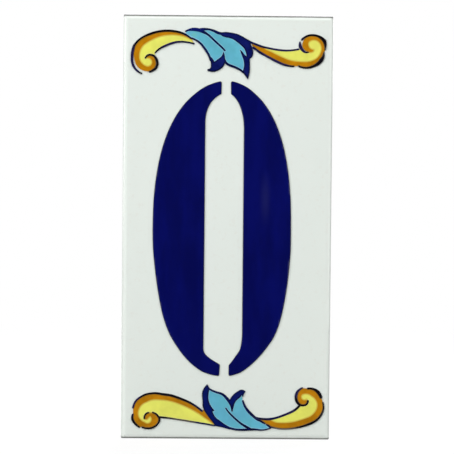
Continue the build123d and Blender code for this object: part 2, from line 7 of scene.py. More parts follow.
import bmesh
import bpy
from mathutils.bvhtree import BVHTree
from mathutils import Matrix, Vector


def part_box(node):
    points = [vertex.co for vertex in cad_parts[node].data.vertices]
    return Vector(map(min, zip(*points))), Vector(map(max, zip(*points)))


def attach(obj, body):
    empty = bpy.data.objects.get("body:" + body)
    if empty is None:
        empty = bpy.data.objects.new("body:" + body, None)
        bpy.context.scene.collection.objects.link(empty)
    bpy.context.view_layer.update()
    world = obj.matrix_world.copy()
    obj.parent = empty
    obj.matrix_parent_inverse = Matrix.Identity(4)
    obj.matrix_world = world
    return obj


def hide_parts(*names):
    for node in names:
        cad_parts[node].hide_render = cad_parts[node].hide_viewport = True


bl_info = {
    "name": "Number tile",
    "version": (1, 0, 0),
    "blender": (4, 5, 0),
    "location": "View3D > Sidebar > Number tile",
    "description": "Dresses a glazed ceramic number tile with its enamels, and lights it",
    "category": "Object",
}

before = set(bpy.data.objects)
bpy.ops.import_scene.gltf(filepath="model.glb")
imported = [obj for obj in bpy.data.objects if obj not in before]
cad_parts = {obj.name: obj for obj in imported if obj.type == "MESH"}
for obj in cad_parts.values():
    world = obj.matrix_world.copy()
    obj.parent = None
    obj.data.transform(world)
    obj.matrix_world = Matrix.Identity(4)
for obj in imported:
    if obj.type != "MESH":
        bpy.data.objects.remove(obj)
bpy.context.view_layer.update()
TILE_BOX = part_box("tile_body")
FACE = TILE_BOX[0].y

# How a CAD mesh is cleaned and smoothed, and how far a face may look forward and still be a side wall
MERGE = 2e-6
FLAT_ANGLE = math.radians(0.5)
SMOOTH_ANGLE = math.radians(50)
WALL_FACING = 0.5

# What firing does: how far the lines run, how round a rim melts and in how many steps it is made,
# how full the figure's middle stands, and how far in from its edge that starts
LINE_RUN = 0.00005
RIM_RADIUS = 0.00008
RIM_STEPS = 2
SWELL_DEPTH = 0.00004
SWELL_REACH = 0.0006

# The pitch of the grid that an enamel is cut along, and how far back in its pitch each cut stands
FIGURE_PITCH = 0.0008
LINE_PITCH = 0.0004
FIELD_PITCH = 0.0003
CUT_BACK = 0.37

# An oval on the face is its centre across and up, then half its width and half its height.
# How far a soft oval reaches off the face, which is more for the leaves
SPOT_DEPTH = 0.01
LEAF_DEPTH = 0.02
# Where the brush ran thin on the scrolls' lines, so that they turn blue
THIN_PAINT = (
    (-0.0335, 0.0575, 0.003, 0.009),
    (-0.018, 0.064, 0.0085, 0.0024),
    (0.0175, 0.061, 0.0095, 0.0062),
    (0.0258, 0.0642, 0.003, 0.0042),
    (0.0205, -0.0657, 0.0075, 0.0036),
    (0.0258, -0.058, 0.003, 0.003),
    (-0.0315, -0.0635, 0.003, 0.006),
)
# Where the lines fade out
FADED = (
    (0.0205, -0.0713, 0.0085, 0.0022),
    (-0.0122, 0.0653, 0.003, 0.0015),
    (-0.013, -0.0687, 0.012, 0.0028),
)
# Where a line belongs to a leaf
LEAVES = (
    (-0.0026, 0.062, 0.017, 0.0145),
    (-0.0125, 0.0695, 0.004, 0.003),
    (0.0038, -0.064, 0.018, 0.0142),
)
# The upper leaf's tip, and where the lower leaf's shading is brightest
LEAF_TIP = (-0.0118, 0.0698, 0.005, 0.0018)
BRIGHT_LEAF = (-0.002, -0.065, 0.016, 0.014)
# The thin place in the figure, and the touch of green where a leaf met the yellow
THIN_FIGURE = (0.0135, 0.0105, 0.0025, 0.012)
GREEN_TOUCH = (-0.012, 0.068, 0.0018, 0.0014)

# Where the stencil or the brush left an enamel wider or thinner: an oval, and how much wider on each side
PRESSED_FIGURE = (
    (0.0065, 0.0508, 0.007, 0.004, 0.00022),
    (-0.0085, 0.0508, 0.007, 0.004, 0.00018),
    (0.0122, -0.0462, 0.0085, 0.0085, -0.0006),
    (-0.0155, -0.0455, 0.009, 0.009, -0.0004),
    (0.0214, -0.0215, 0.004, 0.014, -0.00025),
    (-0.0252, -0.0205, 0.004, 0.014, -0.00025),
    (-0.0045, -0.0472, 0.0045, 0.0042, 0.00035),
    (0.0038, -0.0465, 0.003, 0.0035, 0.0004),
)
PRESSED_LINES = (
    (-0.0115, 0.0697, 0.0045, 0.0022, 0.0003),
    (-0.0005, 0.06, 0.014, 0.012, 0.00008),
    (0.0038, -0.0635, 0.016, 0.012, 0.00009),
    (0.0175, 0.0605, 0.012, 0.006, 0.0001),
    (0.0205, -0.0657, 0.009, 0.004, 0.00008),
    (-0.018, 0.0635, 0.0095, 0.003, 0.00008),
    (0.0262, 0.0642, 0.002, 0.003, 0.00012),
    (-0.0312, 0.0662, 0.004, 0.0042, -0.00018),
    (-0.0037, 0.0688, 0.0035, 0.0016, 0.00012),
    (-0.0004, 0.0673, 0.004, 0.0009, 0.00018),
    (-0.0143, 0.0699, 0.0016, 0.0012, -0.00014),
    (0.0082, 0.0562, 0.0012, 0.005, -0.0002),
    (0.0094, 0.0612, 0.0012, 0.003, -0.0002),
    (-0.018, -0.0597, 0.012, 0.005, 0.00006),
)
PRESSED_OCHRE = (
    (0.0264, 0.064, 0.0018, 0.0032, 0.0003),
    (-0.0286, 0.0675, 0.0017, 0.0017, 0.0002),
    (-0.0306, 0.0664, 0.0017, 0.0017, 0.0002),
    (-0.0323, 0.0649, 0.0017, 0.0017, 0.0002),
)
# Where the hand drew a stretch of the bands higher or lower: an oval, and how much higher
SHIFTED = (
    (-0.0225, 0.0695, 0.012, 0.0045, 0.00016),
    (-0.0312, 0.0662, 0.004, 0.0042, 0.00012),
    (-0.0138, -0.0617, 0.014, 0.006, 0.0005),
    (-0.0285, -0.0605, 0.006, 0.006, 0.0003),
    (-0.0262, -0.0588, 0.0045, 0.0035, 0.0002),
    (0.0225, 0.0615, 0.022, 0.0105, -0.00018),
    (0.0015, 0.0535, 0.013, 0.0065, -0.0003),
)

# How much the painted shade line over the arris shows, what the top end keeps of its colour, and how far it
# wanders
ARRIS_AT_SIDES = 0.15
ARRIS_AT_ENDS = 0.97
TOP_ARRIS_SHADE = 0.35
ARRIS_WAVE = 0.0003
# How far behind the face the painted shade line starts, is full, is full still and ends
NOSE_START = 0.00005
NOSE_FULL = 0.0003
NOSE_LAST = 0.0008
NOSE_END = 0.0012
# How far above and below the tile's middle the line's colour at one end turns into that at the other
MIDDLE_FADE = 0.01
# How far the glaze line on the sides waves over its length, and how soft it is
GLAZE_LINE_WAVE = 0.0035
GLAZE_LINE_SOFTNESS = 0.0002
# The roughness of the bare body, and how much roughness drifts in all and below its own value
BISCUIT_ROUGHNESS = 0.85
GLAZE_DRIFT = 0.05
GLAZE_DRIFT_BELOW = 0.02
ENAMEL_DRIFT = 0.08
ENAMEL_DRIFT_BELOW = 0.03

# How far in from an edge a colour pools, opens into leaf shading, browns, pales or runs into its neighbour
FIGURE_POOL = 0.0004
LEAF_SHADE_FROM = 0.00025
LEAF_SHADE_TO = 0.0007
OCHRE_BROWNED = 0.0004
OCHRE_RUN = 0.00035
YELLOW_PALED = 0.0003
YELLOW_RUN = 0.0004
TURQUOISE_PALED_FROM = 0.00005
TURQUOISE_PALED_TO = 0.00045

# Tints beside the colours of the settings
DULL_SLIP = (0.74, 0.77, 0.72)
IRON_SPECK = (0.3, 0.26, 0.2)
PALE_BISCUIT = (0.78, 0.69, 0.58)
DULL_BISCUIT = (0.61, 0.505, 0.4)
GROG = (0.42, 0.32, 0.24)
THIN_FIGURE_BLUE = (0.012, 0.014, 0.1)
SOFT_LINE = (0.0045, 0.0035, 0.007)
THIN_LINE = (0.015, 0.012, 0.06)
FADED_LINE = (0.085, 0.07, 0.06)
DEEP_LEAF_LINE = (0.0007, 0.002, 0.022)
PALE_LEAF_LINE = (0.0017, 0.006, 0.058)
PALE_LEAF_SHADE = (0.0065, 0.011, 0.125)
BRIGHT_LEAF_SHADE = (0.0006, 0.0065, 0.118)
BROWNED_OCHRE = (0.25, 0.12, 0.008)
PALED_YELLOW = (0.8, 0.78, 0.3)
COOL_TURQUOISE = (0.13, 0.41, 0.62)
GREEN_TURQUOISE = (0.16, 0.5, 0.33)
PALE_TURQUOISE = (0.42, 0.66, 0.9)
FLOOR_GREY = (0.4, 0.4, 0.4)
FLOOR_SEEN = (0.95, 0.95, 0.95)
CLOTH_BLACK = (0.01, 0.01, 0.01)
ROOM_WHITE = (1.0, 1.0, 1.0)

# The floor's size and roughness, where round the tile it turns wholly white, and how white it is beside it
FLOOR_SIZE = 8.0
FLOOR_ROUGHNESS = 0.8
FADE_FROM = 0.1
FADE_TO = 0.4
NEAR_WHITE = 0.8
# The dark card that the glaze reflects, in front of the tile
CARD_SIZE = 1.6
CARD_PLACE = (0.0, -1.3, 0.0)
CARD_TURN = (math.radians(90), 0.0, 0.0)
CARD_NARROWED = 0.5
# Each lamp's name, place, width, height, and the setting with its power
LAMPS = (
    ("left_softbox", (-0.75, -0.45, 0.3), 0.5, 0.7, "left_power"),
    ("top_softbox", (0.0, -0.45, 0.75), 1.2, 0.8, "top_power"),
    ("right_fill", (0.75, -0.6, 0.2), 0.5, 0.7, "right_power"),
    ("back_fill", (0.3, 0.8, 0.45), 0.9, 0.7, "back_power"),
)
# The camera's sensor in millimetres, and how near it sees
SENSOR_WIDTH = 36.0
NEAREST_SEEN = 0.01


class GlazeSettings(bpy.types.PropertyGroup):
    """The fired body, its slip and its clear glaze."""

    slip: bpy.props.FloatVectorProperty(
        name="Slip", description="White slip seen through the glaze", subtype="COLOR",
        default=(0.768, 0.815, 0.765),
    )
    cool_slip: bpy.props.FloatVectorProperty(
        name="Cool slip", description="Slip where the glaze lies thicker", subtype="COLOR",
        default=(0.745, 0.797, 0.757),
    )
    # Painted shade: colour of the dark line painted along the rounded edges
    edge_shade: bpy.props.FloatVectorProperty(
        name="Arris", description="Dark line where the glaze breaks over the edge", subtype="COLOR",
        default=(0.12, 0.126, 0.113),
    )
    biscuit: bpy.props.FloatVectorProperty(
        name="Biscuit", description="Bare fired body on the back and lower sides", subtype="COLOR",
        default=(0.66, 0.55, 0.44),
    )
    # Width of the painted shade line along the edges
    edge_shade_width: bpy.props.FloatProperty(
        name="Arris width", description="How far in from the outline the glaze breaks", unit="LENGTH",
        precision=5, default=0.00068,
    )
    glaze_line: bpy.props.FloatProperty(
        name="Glaze line", description="Distance from the back at which the glaze on the sides ends",
        unit="LENGTH", default=0.003,
    )
    gloss: bpy.props.FloatProperty(
        name="Glaze roughness", description="Roughness of the fired glaze", subtype="FACTOR", min=0, max=1,
        default=0.09,
    )


class EnamelSettings(bpy.types.PropertyGroup):
    """The painted colours."""

    figure: bpy.props.FloatVectorProperty(
        name="Figure blue", description="Blue of the figure", subtype="COLOR", default=(0.0016, 0.003, 0.092)
    )
    line: bpy.props.FloatVectorProperty(
        name="Line", description="Near-black of the scroll outlines", subtype="COLOR",
        default=(0.0028, 0.0018, 0.0035),
    )
    leaf_shade: bpy.props.FloatVectorProperty(
        name="Leaf shade", description="Blue of the leaf outlines and their shaded sides", subtype="COLOR",
        default=(0.0028, 0.0075, 0.108),
    )
    ochre: bpy.props.FloatVectorProperty(
        name="Ochre", description="Ochre of the scroll bands", subtype="COLOR", default=(0.47, 0.19, 0.003)
    )
    yellow: bpy.props.FloatVectorProperty(
        name="Yellow", description="Yellow of the scrolls", subtype="COLOR", default=(0.77, 0.776, 0.136)
    )
    turquoise: bpy.props.FloatVectorProperty(
        name="Turquoise", description="Turquoise of the leaves", subtype="COLOR",
        default=(0.116, 0.437, 0.558),
    )


class StudioSettings(bpy.types.PropertyGroup):
    """The camera and the light."""

    camera_place: bpy.props.FloatVectorProperty(
        name="Camera place", description="Where the camera stands", subtype="TRANSLATION", unit="LENGTH",
        precision=5, default=(-0.00473, -0.45365, 0.01091),
    )
    camera_turn: bpy.props.FloatVectorProperty(
        name="Camera turn", description="How the camera is turned", subtype="EULER", unit="ROTATION",
        precision=5, default=(math.radians(88.645), math.radians(-0.507), math.radians(-0.604)),
    )
    lens: bpy.props.FloatProperty(
        name="Lens", description="Focal length on a 36 mm wide sensor", unit="CAMERA", default=100.0
    )
    left_power: bpy.props.FloatProperty(
        name="Left softbox", description="Power of the left softbox", unit="POWER", default=6.05
    )
    top_power: bpy.props.FloatProperty(
        name="Top softbox", description="Power of the top softbox", unit="POWER", default=5.1
    )
    right_power: bpy.props.FloatProperty(
        name="Right fill", description="Power of the right fill", unit="POWER", default=3.0
    )
    back_power: bpy.props.FloatProperty(
        name="Back fill", description="Power of the lamp behind the tile", unit="POWER", default=9.0
    )
    ambient: bpy.props.FloatProperty(
        name="Ambient", description="Strength of the room light", default=0.2
    )


def settings(name):
    """One of this file's property groups on the scene."""
    return getattr(bpy.context.scene, name)


def scaled(colour, by):
    """A colour made lighter or darker."""
    return tuple(channel * by for channel in colour)


def join_node(tree, kind, sockets=None, **options):
    """Adds a shader node, sets its options, and sets or links its input sockets."""
    made = tree.nodes.new(kind)
    for option, value in options.items():
        setattr(made, option, value)
    for socket, value in (sockets or {}).items():
        if isinstance(value, bpy.types.NodeSocket):
            tree.links.new(value, made.inputs[socket])
        else:
            made.inputs[socket].default_value = value
    return made


def reckoned(tree, operation, first, second=0.0, third=0.0):
    """The result of a Math node."""
    return join_node(tree, "ShaderNodeMath", {0: first, 1: second, 2: third}, operation=operation).outputs[0]


def stepped(tree, value, low, high):
    """0 where value is below low, 1 above high, and a smooth rise between."""
    made = join_node(
        tree, "ShaderNodeMapRange",
        {"Value": value, "From Min": low, "From Max": high, "To Min": 0.0, "To Max": 1.0},
        interpolation_type="SMOOTHSTEP",
    )
    return made.outputs["Result"]


def blended(tree, factor, first, second):
    """A colour mixed from two, by factor."""
    made = join_node(tree, "ShaderNodeMix", data_type="RGBA", blend_type="MIX")
    for index, value in ((0, factor), (6, first), (7, second)):
        if isinstance(value, bpy.types.NodeSocket):
            tree.links.new(value, made.inputs[index])
        elif index == 0:
            made.inputs[index].default_value = value
        else:
            made.inputs[index].default_value = (*value, 1.0)
    return made.outputs[2]


def place(tree):
    """The surface point in the tile's own frame."""
    return join_node(tree, "ShaderNodeTexCoord").outputs["Object"]


def noise(tree, point, scale, detail=2.0, rough=0.5):
    """Even noise from 0 to 1, with about scale lumps to the metre."""
    made = join_node(
        tree, "ShaderNodeTexNoise", {"Vector": point, "Scale": scale, "Detail": detail, "Roughness": rough}
    )
    return made.outputs["Fac"]


def stretched(tree, point, scale):
    """The point with its axes scaled, so that a pattern is drawn out."""
    return join_node(tree, "ShaderNodeMapping", {"Vector": point, "Scale": scale}).outputs["Vector"]


def weakened(tree, mask, most):
    """A mask from 0 to 1, brought down so that it reaches no more than most."""
    return reckoned(tree, "MULTIPLY", mask, most)


def grains(tree, point, scale, chosen, radius, softness):
    """1 on scattered round grains, with scale cells to the metre. Those drawn above chosen hold a grain."""
    cells = join_node(tree, "ShaderNodeTexVoronoi", {"Vector": point, "Scale": scale}, feature="F1").outputs
    drawn = join_node(tree, "ShaderNodeSeparateColor", {0: cells["Color"]}).outputs[0]
    held = stepped(tree, drawn, *chosen)
    inside = reckoned(tree, "SUBTRACT", radius, cells["Distance"])
    return reckoned(tree, "MULTIPLY", held, stepped(tree, inside, 0.0, softness))


def spot(tree, point, oval, depth=SPOT_DEPTH):
    """1 at the centre of an oval on the face, falling to 0 at its ends."""
    across, up, half_width, half_height = oval
    centre = (across, FACE, up)
    size = (half_width, depth, half_height)
    moved = join_node(tree, "ShaderNodeVectorMath", {0: point, 1: centre}, operation="SUBTRACT").outputs[0]
    shrunk = join_node(tree, "ShaderNodeVectorMath", {0: moved, 1: size}, operation="DIVIDE").outputs[0]
    reach = join_node(tree, "ShaderNodeVectorMath", {0: shrunk}, operation="LENGTH").outputs["Value"]
    return reckoned(tree, "SUBTRACT", 1.0, stepped(tree, reach, 0.0, 1.0))


def reached(tree, attribute, low, high):
    """0 nearer than low to what the attribute measures, 1 farther than high."""
    distance = join_node(tree, "ShaderNodeAttribute", attribute_name=attribute).outputs["Fac"]
    return stepped(tree, distance, low, high)


def brushed(tree, point, deep, pale, streak=(1.0, 1.0, 1.0), scale=110.0):
    """A colour that drifts between deep and pale, drawn out along the brush."""
    streaks = noise(tree, stretched(tree, point, streak), scale, detail=3.0, rough=0.6)
    return blended(tree, stepped(tree, streaks, 0.3, 0.7), deep, pale)


def new_finish(name):
    """A new material with a Principled shader, as (material, tree, shader)."""
    made = bpy.data.materials.new(name)
    made.use_nodes = True
    return made, made.node_tree, made.node_tree.nodes["Principled BSDF"]


def bump(tree, height, strength, distance, under=None):
    """A bump normal from a height."""
    sockets = {"Height": height, "Strength": strength, "Distance": distance}
    if under is not None:
        sockets["Normal"] = under
    return join_node(tree, "ShaderNodeBump", sockets).outputs["Normal"]


def glaze_ripple(tree, point):
    """The normal of a poured glaze: a slow swell, and a fine orange peel on it."""
    slow = bump(tree, noise(tree, point, scale=60.0, detail=1.0), strength=0.25, distance=0.0004)
    peel = noise(tree, point, scale=420.0, detail=2.0)
    return bump(tree, peel, strength=0.12, distance=0.0001, under=slow)


def slip_colour(tree, look, point, fine, speck):
    """White slip that drifts between warm and cool, and the iron specks in the glaze."""
    cloud = noise(tree, point, scale=28.0, detail=3.0)
    slip = blended(tree, cloud, look.slip, look.cool_slip)
    slip = blended(tree, stepped(tree, fine, 0.55, 0.8), slip, DULL_SLIP)
    return blended(tree, weakened(tree, speck, most=0.2), slip, IRON_SPECK)


def painted_edge_shade(tree, look, point, axes, glazed):
    """Adds a painted shade line along the arris, where the rounded edge turns from the light: strong at the
    ends, faint at the sides, and darker still at the top.
    """
    waves = noise(tree, point, scale=300.0, detail=2.0)
    wander = reckoned(tree, "MULTIPLY_ADD", waves, ARRIS_WAVE, -ARRIS_WAVE / 2)
    at_nose = reckoned(
        tree, "SUBTRACT",
        stepped(tree, axes["Y"], FACE + NOSE_START, FACE + NOSE_FULL),
        stepped(tree, axes["Y"], FACE + NOSE_LAST, FACE + NOSE_END),
    )
    upper = stepped(tree, axes["Z"], -MIDDLE_FADE, MIDDLE_FADE)
    # Painted shade, darker on the upper half
    painted_shade = blended(tree, upper, look.edge_shade, scaled(look.edge_shade, TOP_ARRIS_SHADE))
    from_edge = look.edge_shade_width * 0.4
    to_face = look.edge_shade_width * 1.6
    for axis, half, amount in (("X", TILE_BOX[1].x, ARRIS_AT_SIDES), ("Z", TILE_BOX[1].z, ARRIS_AT_ENDS)):
        inside = reckoned(tree, "SUBTRACT", half, reckoned(tree, "ABSOLUTE", axes[axis]))
        off_edge = stepped(tree, reckoned(tree, "ADD", inside, wander), from_edge, to_face)
        shade_share = reckoned(tree, "MULTIPLY_ADD", off_edge, -amount, amount)
        glazed = blended(tree, reckoned(tree, "MULTIPLY", shade_share, at_nose), glazed, painted_shade)
    return glazed


def biscuit_colour(tree, look, point, grain):
    """Bare fired body, with duller patches and grains of grog."""
    biscuit = blended(tree, grain, look.biscuit, PALE_BISCUIT)
    patch = noise(tree, point, scale=260.0, detail=4.0, rough=0.65)
    biscuit = blended(tree, stepped(tree, patch, 0.4, 0.8), biscuit, DULL_BISCUIT)
    grog = grains(tree, point, scale=1300.0, chosen=(0.8, 0.82), radius=0.35, softness=0.2)
    return blended(tree, weakened(tree, grog, most=0.4), biscuit, GROG)


def glazed_part(tree, look, point, axes):
    """1 on the face and upper sides, 0 on the back and lower sides, with a wavy line between."""
    through = (1.0, 0.2, 1.0)
    waves = noise(tree, stretched(tree, point, through), scale=130.0, detail=3.0)
    wander = reckoned(tree, "MULTIPLY_ADD", waves, GLAZE_LINE_WAVE, -GLAZE_LINE_WAVE / 2)
    above = reckoned(tree, "ADD", reckoned(tree, "MULTIPLY", axes["Y"], -1.0), wander)
    return stepped(tree, above, look.glaze_line, look.glaze_line + GLAZE_LINE_SOFTNESS)


def fired_glaze():
    """White slip under clear glaze on the face and upper sides, bare biscuit on the back and lower sides."""
    made, tree, shader = new_finish("fired_glaze")
    look = settings("tile_glaze")
    point = place(tree)
    axes = join_node(tree, "ShaderNodeSeparateXYZ", {0: point}).outputs
    fine = noise(tree, point, scale=700.0, detail=3.0)
    grain = noise(tree, point, scale=1600.0, detail=4.0, rough=0.7)
    speck = grains(tree, point, scale=160.0, chosen=(0.86, 0.87), radius=0.1, softness=0.06)
    # The glazed colour gets the painted shade line along its edges
    glazed = painted_edge_shade(tree, look, point, axes, slip_colour(tree, look, point, fine, speck))
    glaze_on = glazed_part(tree, look, point, axes)
    colour = blended(tree, glaze_on, biscuit_colour(tree, look, point, grain), glazed)
    tree.links.new(colour, shader.inputs["Base Color"])

    gloss = reckoned(tree, "MULTIPLY_ADD", fine, GLAZE_DRIFT, look.gloss - GLAZE_DRIFT_BELOW)
    smoother = reckoned(tree, "SUBTRACT", gloss, BISCUIT_ROUGHNESS)
    rough = reckoned(tree, "MULTIPLY_ADD", glaze_on, smoother, BISCUIT_ROUGHNESS)
    tree.links.new(rough, shader.inputs["Roughness"])

    step = bump(tree, glaze_on, strength=1.0, distance=0.0002, under=glaze_ripple(tree, point))
    pinholes = reckoned(tree, "MULTIPLY", speck, -1.0)
    pitted = bump(tree, pinholes, strength=0.5, distance=0.00008, under=step)
    bare_grain = reckoned(tree, "MULTIPLY", grain, reckoned(tree, "SUBTRACT", 1.0, glaze_on))
    relief = bump(tree, bare_grain, strength=0.7, distance=0.00025, under=pitted)
    tree.links.new(relief, shader.inputs["Normal"])
    return made


def finish_enamel(tree, shader, point, colour, gloss):
    """Gives an enamel its colour, a gloss that varies with the firing, and the glaze's ripple."""
    firing = noise(tree, point, scale=500.0)
    rough = reckoned(tree, "MULTIPLY_ADD", firing, ENAMEL_DRIFT, gloss - ENAMEL_DRIFT_BELOW)
    tree.links.new(colour, shader.inputs["Base Color"])
    tree.links.new(rough, shader.inputs["Roughness"])
    tree.links.new(glaze_ripple(tree, point), shader.inputs["Normal"])


def figure_finish():
    """Dark blue laid through a stencil: streaked down the strokes, darker where it pools along the rim."""
    made, tree, shader = new_finish("figure_blue")
    blue = settings("tile_enamel").figure
    point = place(tree)
    down = (1.0, 1.0, 0.25)
    colour = brushed(tree, point, scaled(blue, 0.8), scaled(blue, 1.15), streak=down, scale=140.0)
    thin = weakened(tree, spot(tree, point, THIN_FIGURE), most=0.6)
    colour = blended(tree, thin, colour, THIN_FIGURE_BLUE)
    colour = blended(tree, reached(tree, "to_edge", 0.0, FIGURE_POOL), scaled(blue, 0.25), colour)
    finish_enamel(tree, shader, point, colour, gloss=0.1)
    return made


def scroll_line_colour(tree, look, point):
    """Near-black line that turns blue where the paint ran thin, and fades out in places."""
    scroll = brushed(tree, point, scaled(look.line, 0.6), SOFT_LINE, scale=70.0)
    for oval in THIN_PAINT:
        scroll = blended(tree, stepped(tree, spot(tree, point, oval), 0.0, 0.5), scroll, THIN_LINE)
    for oval in FADED:
        scroll = blended(tree, stepped(tree, spot(tree, point, oval), 0.0, 0.7), scroll, FADED_LINE)
    return scroll


def leaf_shade_colour(tree, look, point):
    """Blue of the leaves' shaded sides, brighter on the lower leaf."""
    shade = brushed(tree, point, scaled(look.leaf_shade, 0.7), PALE_LEAF_SHADE, scale=260.0)
    bright = weakened(tree, spot(tree, point, BRIGHT_LEAF), most=0.8)
    return blended(tree, bright, shade, BRIGHT_LEAF_SHADE)


def line_finish():
    """Near-black brush lines that open out into blue where the brush was pressed down on the leaves."""
    made, tree, shader = new_finish("brush_line_blue")
    look = settings("tile_enamel")
    point = place(tree)
    leaves = 0.0
    for oval in LEAVES:
        leaves = reckoned(tree, "MAXIMUM", leaves, spot(tree, point, oval, LEAF_DEPTH))
    on_leaf = stepped(tree, leaves, 0.01, 0.08)
    leaf_line = brushed(tree, point, DEEP_LEAF_LINE, PALE_LEAF_LINE, scale=150.0)
    thin = blended(tree, on_leaf, scroll_line_colour(tree, look, point), leaf_line)
    full = reckoned(tree, "MULTIPLY", reached(tree, "to_edge", LEAF_SHADE_FROM, LEAF_SHADE_TO), on_leaf)
    colour = blended(tree, full, thin, leaf_shade_colour(tree, look, point))
    tip = stepped(tree, spot(tree, point, LEAF_TIP), 0.1, 0.5)
    colour = blended(tree, tip, colour, look.leaf_shade)
    finish_enamel(tree, shader, point, colour, gloss=0.1)
    return made


def ochre_finish():
    """Ochre wash: browner beside the brush line, and running into the yellow on its other side."""
    made, tree, shader = new_finish("ochre")
    look = settings("tile_enamel")
    point = place(tree)
    colour = brushed(tree, point, scaled(look.ochre, 0.82), scaled(look.ochre, 1.14), scale=200.0)
    colour = blended(tree, reached(tree, "to_line", 0.0, OCHRE_BROWNED), BROWNED_OCHRE, colour)
    run = blended(tree, 0.5, look.ochre, look.yellow)
    colour = blended(tree, reached(tree, "to_colour", 0.0, OCHRE_RUN), run, colour)
    finish_enamel(tree, shader, point, colour, gloss=0.11)
    return made


def yellow_finish():
    """Yellow wash, warmer where the ochre runs into it and paler towards the brush line."""
    made, tree, shader = new_finish("yellow")
    look = settings("tile_enamel")
    point = place(tree)
    colour = brushed(tree, point, scaled(look.yellow, 0.92), scaled(look.yellow, 1.04), scale=160.0)
    colour = blended(tree, reached(tree, "to_line", 0.0, YELLOW_PALED), PALED_YELLOW, colour)
    run = blended(tree, 0.5, look.ochre, look.yellow)
    colour = blended(tree, reached(tree, "to_colour", 0.0, YELLOW_RUN), run, colour)
    finish_enamel(tree, shader, point, colour, gloss=0.11)
    return made


def turquoise_finish():
    """Turquoise wash, paler along the brush lines, with a touch of green where it met the scroll's yellow."""
    made, tree, shader = new_finish("turquoise")
    look = settings("tile_enamel")
    point = place(tree)
    colour = brushed(tree, point, scaled(look.turquoise, 0.92), scaled(look.turquoise, 1.08), scale=190.0)
    cool = stepped(tree, noise(tree, point, scale=130.0, detail=2.0), 0.45, 0.65)
    colour = blended(tree, weakened(tree, cool, most=0.35), colour, COOL_TURQUOISE)
    green = weakened(tree, spot(tree, point, GREEN_TOUCH), most=0.45)
    colour = blended(tree, green, colour, GREEN_TURQUOISE)
    edge = blended(tree, 0.55, look.turquoise, PALE_TURQUOISE)
    off_line = reached(tree, "to_line", TURQUOISE_PALED_FROM, TURQUOISE_PALED_TO)
    colour = blended(tree, off_line, edge, colour)
    finish_enamel(tree, shader, point, colour, gloss=0.1)
    return made


def only(piece):
    """Deselects everything, then selects this piece and makes it active."""
    bpy.ops.object.select_all(action="DESELECT")
    piece.select_set(True)
    bpy.context.view_layer.objects.active = piece


def walls_of(piece):
    """A search tree of a piece's side walls, which are the outlines of what is painted."""
    mesh = piece.data
    walls = [face.vertices for face in mesh.polygons if abs(face.normal.y) < WALL_FACING]
    return BVHTree.FromPolygons([point.co for point in mesh.vertices], walls)


def own_walls(piece):
    """The side walls of a piece in edit mode, as they are now."""
    piece.update_from_editmode()
    return walls_of(piece)


def fired_copy(node_name, name):
    """A new piece with a CAD node's mesh, its doubles merged and its flat faces whole.

    It is left in edit mode.
    """
    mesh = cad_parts[node_name].data.copy()
    mesh.materials.clear()
    piece = bpy.data.objects.new(name, mesh)
    bpy.context.scene.collection.objects.link(piece)
    only(piece)
    bpy.ops.mesh.customdata_custom_splitnormals_clear()
    bpy.ops.object.mode_set(mode="EDIT")
    bpy.ops.mesh.select_mode(type="VERT")
    bpy.ops.mesh.select_all(action="SELECT")
    bpy.ops.mesh.remove_doubles(threshold=MERGE)
    bpy.ops.mesh.dissolve_limited(angle_limit=FLAT_ANGLE)
    return piece


def spread(piece, reach):
    """Lets a colour run outwards by reach, all round, and keeps its thickness."""
    net = bmesh.from_edit_mesh(piece.data)
    front = min(point.co.y for point in net.verts)
    back = max(point.co.y for point in net.verts)
    bpy.ops.mesh.select_all(action="SELECT")
    bpy.ops.transform.shrink_fatten(value=reach, use_even_offset=True)
    net = bmesh.from_edit_mesh(piece.data)
    middle = (front + back) / 2
    for point in net.verts:
        point.co.y = front if point.co.y < middle else back
    bmesh.update_edit_mesh(piece.data)


def press(piece, across, up, half_width, half_height, wider):
    """Makes what is painted within an oval wider, or thinner below 0, and most so at its centre."""
    net = bmesh.from_edit_mesh(piece.data)
    net.normal_update()
    for point in net.verts:
        reach = math.hypot((point.co.x - across) / half_width, (point.co.z - up) / half_height)
        flat = math.hypot(point.normal.x, point.normal.z)
        if reach < 1.0 and flat > 0.0:
            grown = wider * (1.0 - reach * reach) / flat
            point.co.x += point.normal.x * grown
            point.co.z += point.normal.z * grown
    bmesh.update_edit_mesh(piece.data)


def shift_ovals(piece):
    """Moves what lies within the ovals of SHIFTED up or down, and most so at their centres."""
    for point in piece.data.vertices:
        x, z = point.co.x, point.co.z
        for across, up, half_width, half_height, rise in SHIFTED:
            reach = math.hypot((x - across) / half_width, (z - up) / half_height)
            point.co.z += rise * max(0.0, 1.0 - reach * reach)


def soften_rim(piece):
    """Rounds the front rim of a piece, as enamel melts in the kiln."""
    bpy.ops.mesh.select_mode(type="EDGE")
    bpy.ops.mesh.select_all(action="DESELECT")
    net = bmesh.from_edit_mesh(piece.data)
    front = min(point.co.y for point in net.verts)
    for edge in net.edges:
        on_front = all(abs(point.co.y - front) < MERGE for point in edge.verts)
        edge.select = on_front and any(abs(face.normal.y) < WALL_FACING for face in edge.link_faces)
    bmesh.update_edit_mesh(piece.data)
    bpy.ops.mesh.bevel(offset=RIM_RADIUS, segments=RIM_STEPS, affect="EDGES", clamp_overlap=False)


